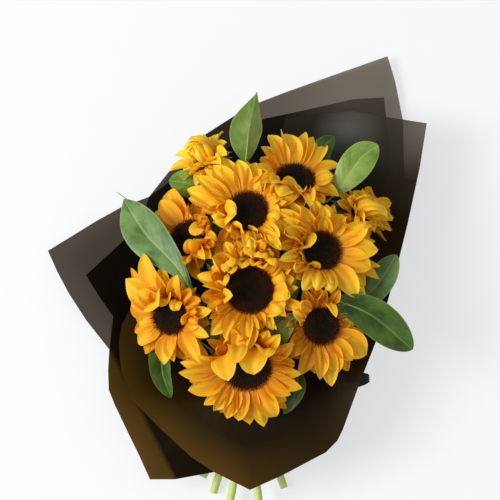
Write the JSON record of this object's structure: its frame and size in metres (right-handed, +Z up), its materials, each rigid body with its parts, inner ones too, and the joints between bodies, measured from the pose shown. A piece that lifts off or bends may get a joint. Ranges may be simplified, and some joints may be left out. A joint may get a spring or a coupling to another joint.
{
  "type": "bunch of sunflowers",
  "caption": "Bunch of cut sunflowers with broad green leaves, tied and wrapped in wide sheets of dark frosted film, lying on its back.",
  "frame": {"origin": "on the surface the bunch lies on, below the middle of its box", "axes": "+X to the right as the open side is looked down on, +Y from the cut stem ends to the open top of the wrap, +Z up from the surface"},
  "size_m": [0.4492, 0.5457, 0.1764],
  "materials": {
    "petals": "satin",
    "disc": "matte",
    "stem": "satin",
    "leaf": "satin",
    "film": "satin",
    "twine": "matte",
    "ribbon": "satin"
  },
  "bodies": {
    "root": {"back_inner_sheet": "film", "back_sheet": "film", "disc_centre": "disc", "disc_far_right": "disc", "disc_front": "disc", "disc_left_back": "disc", "disc_left_front": "disc", "disc_right_front": "disc", "disc_right_middle": "disc", "disc_top_left": "disc", "disc_top_middle": "disc", "disc_top_right": "disc", "front_left_sheet": "film", "front_sheet": "film", "leaf_bottom_left": "leaf", "leaf_bottom_right": "leaf", "leaf_left_long": "leaf", "leaf_middle_small": "leaf", "leaf_right_back": "leaf", "leaf_right_long": "leaf", "leaf_right_upper": "leaf", "leaf_top_left_small": "leaf", "leaf_top_middle": "leaf", "leaf_top_right_hidden": "leaf", "left_inner_sheet": "film", "left_sheet": "film", "petals_centre": "petals", "petals_far_right": "petals", "petals_front": "petals", "petals_left_back": "petals", "petals_left_front": "petals", "petals_right_front": "petals", "petals_right_middle": "petals", "petals_top_left": "petals", "petals_top_middle": "petals", "petals_top_right": "petals", "ribbon_band": "ribbon", "ribbon_knot": "ribbon", "ribbon_loop_front": "ribbon", "ribbon_loop_right": "ribbon", "ribbon_tail_long": "ribbon", "ribbon_tail_short": "ribbon", "stem_centre": "stem", "stem_far_right": "stem", "stem_front": "stem", "stem_left_back": "stem", "stem_left_front": "stem", "stem_right_front": "stem", "stem_right_middle": "stem", "stem_top_left": "stem", "stem_top_middle": "stem", "stem_top_right": "stem", "tie": "twine", "twig_back_left": "stem", "twig_back_right": "stem", "twig_front_left": "stem", "twig_front_right": "stem"}
  },
  "joints": []
}
